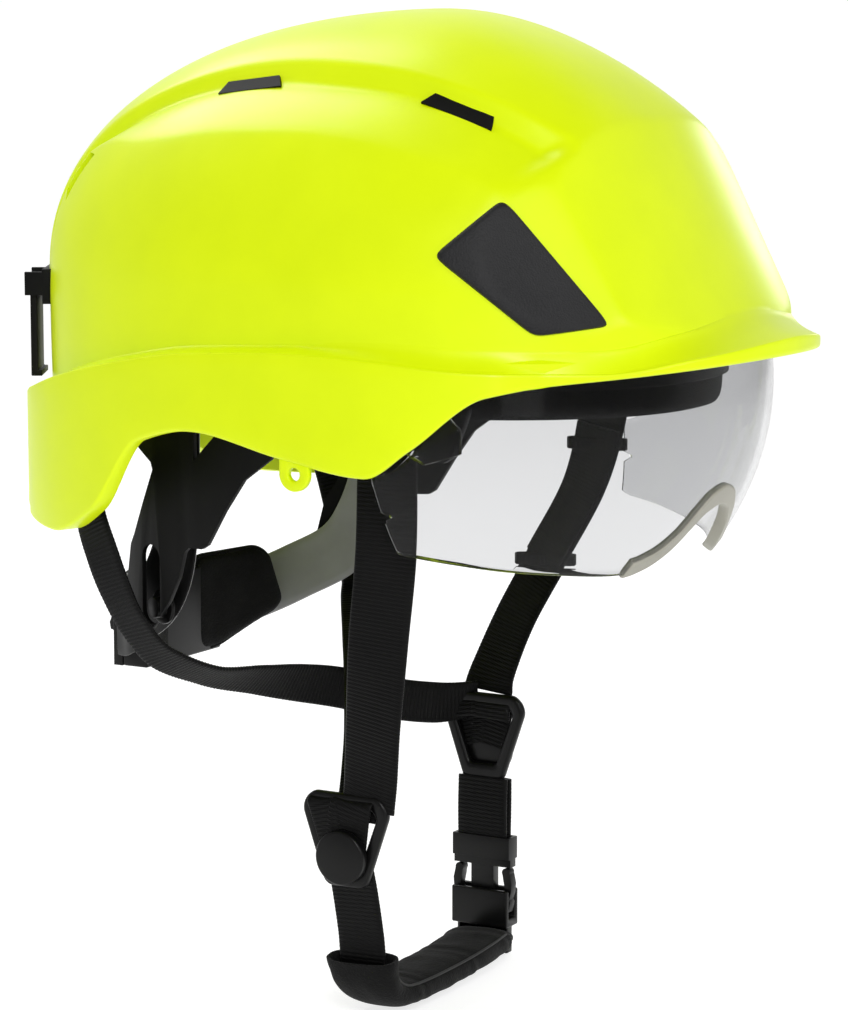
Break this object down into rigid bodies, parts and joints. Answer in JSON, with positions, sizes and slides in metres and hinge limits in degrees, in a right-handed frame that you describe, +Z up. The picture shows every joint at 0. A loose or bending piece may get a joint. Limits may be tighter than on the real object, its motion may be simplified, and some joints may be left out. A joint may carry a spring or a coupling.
{
  "type": "arborist helmet",
  "caption": "Vented climbing helmet with short brim, retractable clear visor, ratchet nape adjuster and four-point webbing chin harness.",
  "frame": {"origin": "centre of the head opening, level with the headband, where the helmet sits on a head", "axes": "+Z up, -Y forward (the way the wearer looks), -X the wearer's right"},
  "size_m": [0.212, 0.2785, 0.3395],
  "materials": {
    "shell": "satin fluorescent yellow, moulded",
    "black_plastic": "fine-grained black, moulded",
    "grey_plastic": "smooth grey, moulded",
    "soft_grip": "warm grey soft rubber",
    "lens": "clear polycarbonate",
    "webbing": "black ribbed webbing",
    "foam": "black fabric over foam"
  },
  "bodies": {
    "helmet": {"shell": "shell", "accessory_lug_right": "shell", "accessory_lug_left": "shell", "side_pad_right": "black_plastic", "side_pad_left": "black_plastic", "clip_mount_right": "black_plastic", "clip_mount_left": "black_plastic", "strap_anchors": "black_plastic", "headband": "black_plastic", "sweatband": "foam", "cradle_straps": "webbing", "crown_pad": "foam", "cradle_clips": "black_plastic", "nape_arm_right": "black_plastic", "nape_arm_left": "black_plastic", "size_band_right": "grey_plastic", "size_band_left": "grey_plastic", "visor_bracket_right": "black_plastic", "visor_bracket_left": "black_plastic", "front_strap_right": "webbing", "front_strap_left": "webbing", "rear_strap_right": "webbing", "rear_strap_left": "webbing", "y_buckle_right": "black_plastic", "lock_disc_right": "black_plastic", "female_buckle": "black_plastic", "chin_strap": "webbing", "chin_pad": "foam", "strap_keepers": "black_plastic"},
    "visor": {"visor_lens": "lens", "nose_bridge": "soft_grip", "visor_arm_right": "lens", "visor_arm_left": "lens"},
    "right_clip": {"lamp_clip_right": "black_plastic"},
    "left_clip": {"lamp_clip_left": "black_plastic"},
    "nape_carriage": {"ratchet_housing": "black_plastic", "ratchet_cover": "black_plastic", "nape_pad_right": "foam", "nape_pad_left": "foam", "height_stud_right": "black_plastic", "height_stud_left": "black_plastic"},
    "size_wheel": {"ratchet_dial": "black_plastic", "ratchet_pinion": "grey_plastic"},
    "left_rack": {"rack_left": "grey_plastic"},
    "right_rack": {"rack_right": "grey_plastic"},
    "left_strap_end": {"y_buckle_left": "black_plastic", "lock_disc_left": "black_plastic", "adjuster_strap": "webbing", "male_buckle": "black_plastic"},
    "front_prong": {"prong_front": "black_plastic"},
    "rear_prong": {"prong_rear": "black_plastic"}
  },
  "joints": [
    {"name": "visor_tilt", "type": "hinge", "parent": "helmet", "child": "visor", "pos_m": [0, -0.02, -0.024], "axis": [-1, 0, 0], "range_deg": [0, 44]},
    {"name": "right_clip_lift", "type": "hinge", "parent": "helmet", "child": "right_clip", "pos_m": [-0.0535, 0.13203, 0.007], "axis": [0.866, 0.5, 0], "range_deg": [0, 12], "stiffness_Nm_per_rad": 0.03},
    {"name": "left_clip_lift", "type": "hinge", "parent": "helmet", "child": "left_clip", "pos_m": [0.0535, 0.13203, 0.007], "axis": [0.866, -0.5, 0], "range_deg": [0, 12], "stiffness_Nm_per_rad": 0.03},
    {"name": "nape_height", "type": "slide", "parent": "helmet", "child": "nape_carriage", "axis": [0, 0, 1], "range_m": [0, 0.012], "deforming": ["size_band_right", "size_band_left"]},
    {"name": "dial_turn", "type": "hinge", "parent": "nape_carriage", "child": "size_wheel", "pos_m": [0, 0.1165, -0.116], "axis": [0, -1, 0], "range_deg": [0, 180]},
    {"name": "left_rack_slide", "type": "slide", "parent": "nape_carriage", "child": "left_rack", "axis": [-1, 0, 0], "range_m": [0, 0.0158]},
    {"name": "right_rack_slide", "type": "slide", "parent": "nape_carriage", "child": "right_rack", "axis": [1, 0, 0], "range_m": [0, 0.0158]},
    {"name": "buckle_release", "type": "slide", "parent": "helmet", "child": "left_strap_end", "axis": [0, 0, 1], "range_m": [0, 0.018], "deforming": ["front_strap_left", "rear_strap_right"]},
    {"name": "front_prong_squeeze", "type": "hinge", "parent": "left_strap_end", "child": "front_prong", "pos_m": [0.05, 0.002, -0.209], "axis": [1, 0, 0], "range_deg": [0, 7], "stiffness_Nm_per_rad": 0.02},
    {"name": "rear_prong_squeeze", "type": "hinge", "parent": "left_strap_end", "child": "rear_prong", "pos_m": [0.05, 0.0212, -0.209], "axis": [-1, 0, 0], "range_deg": [0, 7], "stiffness_Nm_per_rad": 0.02}
  ],
  "couplings": [
    {"joint": "left_rack_slide", "follows": "dial_turn", "m_per_rad": 0.005},
    {"joint": "right_rack_slide", "follows": "dial_turn", "m_per_rad": 0.005},
    {"joint": "rear_prong_squeeze", "follows": "front_prong_squeeze", "ratio": 1}
  ]
}
